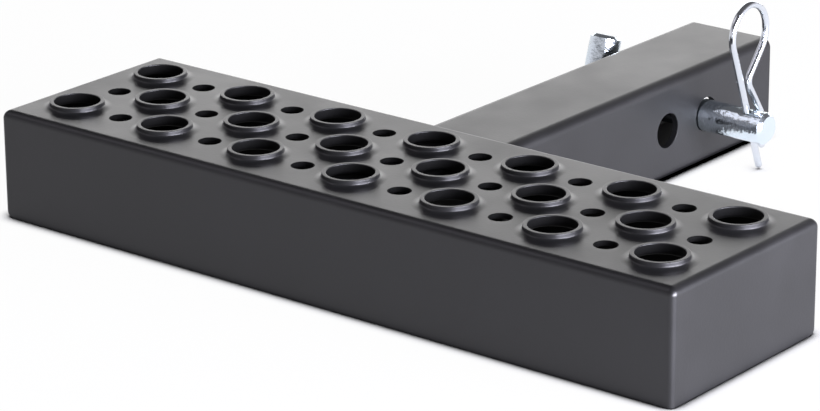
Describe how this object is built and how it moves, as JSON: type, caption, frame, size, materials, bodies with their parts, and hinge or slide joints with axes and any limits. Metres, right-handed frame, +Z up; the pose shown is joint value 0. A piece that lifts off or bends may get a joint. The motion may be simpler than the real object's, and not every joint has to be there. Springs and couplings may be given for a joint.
{
  "type": "hitch step",
  "caption": "Vehicle step for a square receiver: punched sheet tread with raised grip rings on a tube shank, locked by a bent pin and a hairpin clip.",
  "frame": {"origin": "on the ground, on the shank's underside, below the middle opening of the tread", "axes": "+X along the tread towards the side with the pin's clip, +Y along the shank towards the vehicle, +Z up"},
  "size_m": [0.386, 0.325, 0.0884],
  "materials": {
    "coated_sheet": "satin black powder coat on steel sheet",
    "coated_tube": "satin black powder coat on steel tube",
    "zinc_pin": "bright zinc plating with a faint blue tint",
    "zinc_wire": "bright zinc-plated spring wire"
  },
  "bodies": {
    "step": {"step_pan": "coated_sheet", "shank_tube": "coated_tube", "shank_welds": "coated_tube"},
    "pin": {"hitch_pin": "zinc_pin"},
    "clip": {"pin_clip": "zinc_wire"}
  },
  "joints": [
    {"name": "pin_slide", "type": "slide", "parent": "step", "child": "pin", "axis": [1, 0, 0], "range_m": [-0.0238, 0.006]},
    {"name": "clip_pull", "type": "slide", "parent": "pin", "child": "clip", "axis": [0, -0.3584, 0.9336], "range_m": [0, 0.034], "deforming": ["pin_clip"]}
  ]
}
